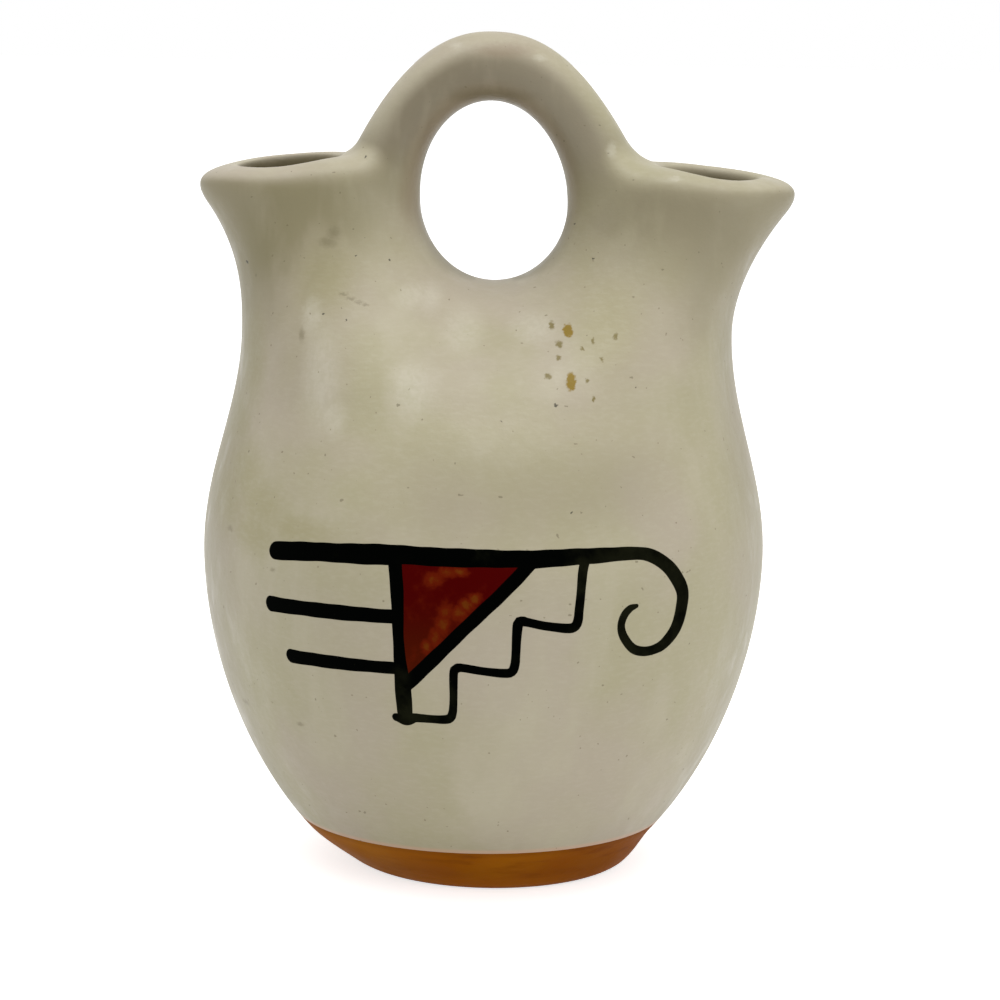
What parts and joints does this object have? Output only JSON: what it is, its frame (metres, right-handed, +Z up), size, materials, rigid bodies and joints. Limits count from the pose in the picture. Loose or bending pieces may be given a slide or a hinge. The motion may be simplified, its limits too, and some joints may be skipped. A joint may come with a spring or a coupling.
{
  "type": "wedding vase",
  "caption": "Coil-built ceramic wedding vase: a round belly parts into twin flared spouts joined by an arched bridge handle, for holding and sharing a drink.",
  "frame": {"origin": "middle of the plan, on the flat face of the foot", "axes": "+Z up through the handle, +X from the left spout to the right spout, -Y the painted front"},
  "size_m": [0.1446, 0.137, 0.2029],
  "materials": {
    "slip": "satin cream slip",
    "foot_wash": "orange-brown wash"
  },
  "bodies": {
    "root": {"foot": "foot_wash", "belly": "slip", "shoulder": "slip", "left_spout": "slip", "right_spout": "slip", "left_lip": "slip", "right_lip": "slip", "bridge_handle": "slip"}
  },
  "joints": []
}
